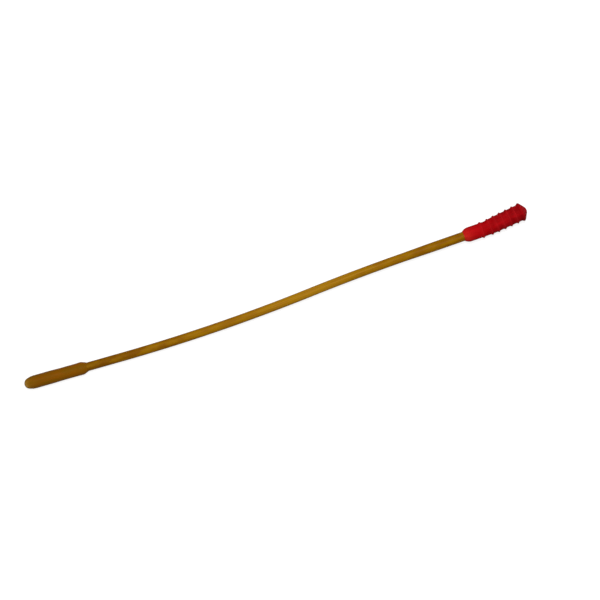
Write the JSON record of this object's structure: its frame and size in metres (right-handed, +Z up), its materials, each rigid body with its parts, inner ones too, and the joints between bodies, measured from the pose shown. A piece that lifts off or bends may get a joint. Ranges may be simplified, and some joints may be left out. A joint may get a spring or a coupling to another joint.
{
  "type": "rhythmic ribbon wand",
  "caption": "Bowed amber wand for a gymnastics ribbon, with a round-nosed tip sleeve and a ribbed red grip with a domed end.",
  "frame": {"origin": "middle of the underside of the wand as it lies down", "axes": "+X from the nose of the tip sleeve to the butt, +Z up; the bends lie in the XY plane but for a rise of 0.3 degrees towards the butt"},
  "size_m": [0.5598, 0.0237, 0.0202],
  "materials": {
    "rod_resin": "amber glass-fibre-filled resin, smooth, with faint lengthwise fibres",
    "sleeve_resin": "darker amber moulded plastic, smooth",
    "grip_elastomer": "red moulded elastomer, satin",
    "cap_plastic": "red moulded plastic, satin"
  },
  "bodies": {
    "root": {"rod": "rod_resin", "tip_sleeve": "sleeve_resin", "grip": "grip_elastomer", "butt_cap": "cap_plastic"}
  },
  "joints": []
}
